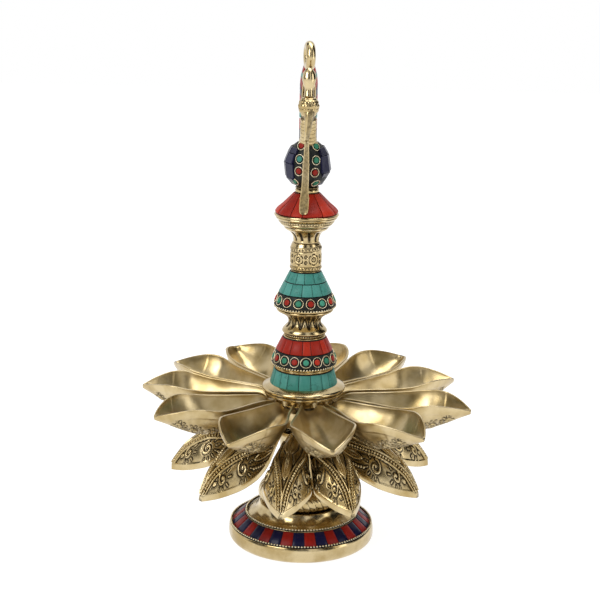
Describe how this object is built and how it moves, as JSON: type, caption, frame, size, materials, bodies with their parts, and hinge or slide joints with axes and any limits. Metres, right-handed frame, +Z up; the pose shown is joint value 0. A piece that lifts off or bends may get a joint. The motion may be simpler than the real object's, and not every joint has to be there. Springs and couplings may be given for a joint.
{
  "type": "hanging peacock diya",
  "caption": "Brass lotus oil lamp with eleven petal cups, stone inlaid stem and foot, and a peacock finial with a hanging loop that screws onto the stem.",
  "frame": {"origin": "centre of the foot's rest ring, on the surface it stands on", "axes": "+Z up along the stem; the bird looks along -Y; +X is to its left as it looks out"},
  "size_m": [0.2141, 0.2164, 0.3297],
  "materials": {
    "cast_brass": "satin cast brass, hand polished, with dark patina in the engraving",
    "fastener_steel": "plain",
    "turquoise_chips": "turquoise composite chips set in black resin, ground and waxed",
    "coral_chips": "coral red composite chips set in black resin, ground and waxed",
    "lapis_chips": "lapis blue composite chips set in black resin, ground and polished",
    "coral_and_lapis_chips": "alternating coral red and lapis blue chips",
    "black_resin": "black resin with brass wire circles round red and green stones"
  },
  "bodies": {
    "lamp": {"foot_casting": "cast_brass", "foot_inlay_ring": "coral_and_lapis_chips", "foot_outer_bead": "cast_brass", "foot_inner_bead": "cast_brass", "gadroon_ring": "cast_brass", "foot_neck": "cast_brass", "lower_clamp_disc": "cast_brass", "hub_drum": "cast_brass", "upper_petal_01": "cast_brass", "upper_petal_02": "cast_brass", "upper_petal_03": "cast_brass", "upper_petal_04": "cast_brass", "upper_petal_05": "cast_brass", "upper_petal_06": "cast_brass", "upper_petal_07": "cast_brass", "upper_petal_08": "cast_brass", "upper_petal_09": "cast_brass", "upper_petal_10": "cast_brass", "upper_petal_11": "cast_brass", "lower_petal_01": "cast_brass", "lower_petal_02": "cast_brass", "lower_petal_03": "cast_brass", "lower_petal_04": "cast_brass", "lower_petal_05": "cast_brass", "lower_petal_06": "cast_brass", "lower_petal_07": "cast_brass", "lower_petal_08": "cast_brass", "lower_petal_09": "cast_brass", "lower_petal_10": "cast_brass", "drip_collar": "cast_brass", "lower_cone_core": "cast_brass", "lower_cone_chips": "turquoise_chips", "red_cone_core": "cast_brass", "red_cone_dot_band": "black_resin", "red_cone_chips": "coral_chips", "red_cone_bead": "cast_brass", "spool": "cast_brass", "turquoise_cone_core": "cast_brass", "turquoise_cone_dot_band": "black_resin", "turquoise_cone_chips": "turquoise_chips", "turquoise_cone_bead": "cast_brass", "engraved_barrel": "cast_brass", "stepped_cup": "cast_brass", "canopy_chips": "coral_chips", "foot_washer": "fastener_steel", "foot_nut": "fastener_steel", "tie_rod": "fastener_steel"},
    "bird_seat": {"bird_seat": "cast_brass"},
    "peacock": {"bird_stud": "cast_brass", "peacock_body": "black_resin", "wing_inlay_left": "lapis_chips", "wing_inlay_right": "lapis_chips", "peacock_neck": "cast_brass", "peacock_head": "cast_brass", "peacock_crest": "cast_brass", "beak_strand": "cast_brass", "tail_plate": "cast_brass", "tail_inlay_left": "coral_chips", "tail_inlay_right": "coral_chips", "hanging_loop": "cast_brass"}
  },
  "joints": [
    {"name": "bird_rise", "type": "slide", "parent": "lamp", "child": "bird_seat", "axis": [0, 0, 1], "range_m": [0, 0.006]},
    {"name": "bird_turn", "type": "hinge", "parent": "bird_seat", "child": "peacock", "pos_m": [0, 0, 0.2345], "axis": [0, 0, 1], "range_deg": [0, 1440]}
  ],
  "couplings": [
    {"joint": "bird_rise", "follows": "bird_turn", "m_per_rad": 0.00023873}
  ]
}
